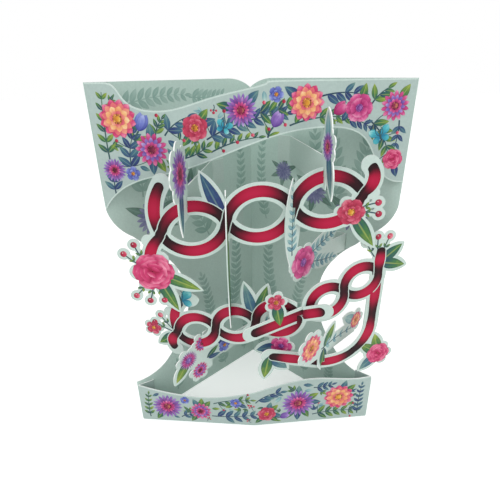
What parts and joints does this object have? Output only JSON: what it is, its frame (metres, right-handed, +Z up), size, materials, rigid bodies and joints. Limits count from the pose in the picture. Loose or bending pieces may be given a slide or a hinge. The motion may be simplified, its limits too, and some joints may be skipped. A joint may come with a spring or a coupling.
{
  "type": "birthday card",
  "caption": "Free-standing pop-up greeting card: a folded cover with waisted wings, front bands, and slotted die-cut panels of twisted ribbon, flowers and leaves.",
  "frame": {"origin": "foot of the spine fold, at the middle of the sheet's thickness, on the surface the card stands on", "axes": "+Z up along the spine fold, -Y out of the open front, +X to the right seen from the front"},
  "size_m": [0.1358, 0.091, 0.18],
  "materials": {
    "cover_card": "uncoated matte",
    "band_card": "printed satin",
    "ribbon_card": "printed satin",
    "flower_card": "printed satin"
  },
  "bodies": {
    "root": {"cover": "cover_card", "top_band": "band_card", "bottom_band": "band_card", "upper_ribbon_panel": "ribbon_card", "lower_left_ribbon_panel": "ribbon_card", "lower_right_ribbon_panel": "ribbon_card", "left_flower_fin": "flower_card", "centre_leaf_fin": "flower_card", "right_flower_fin": "flower_card", "thistle_strip": "flower_card", "dahlia_strip": "flower_card", "poppy_fern_strip": "flower_card"}
  },
  "joints": []
}
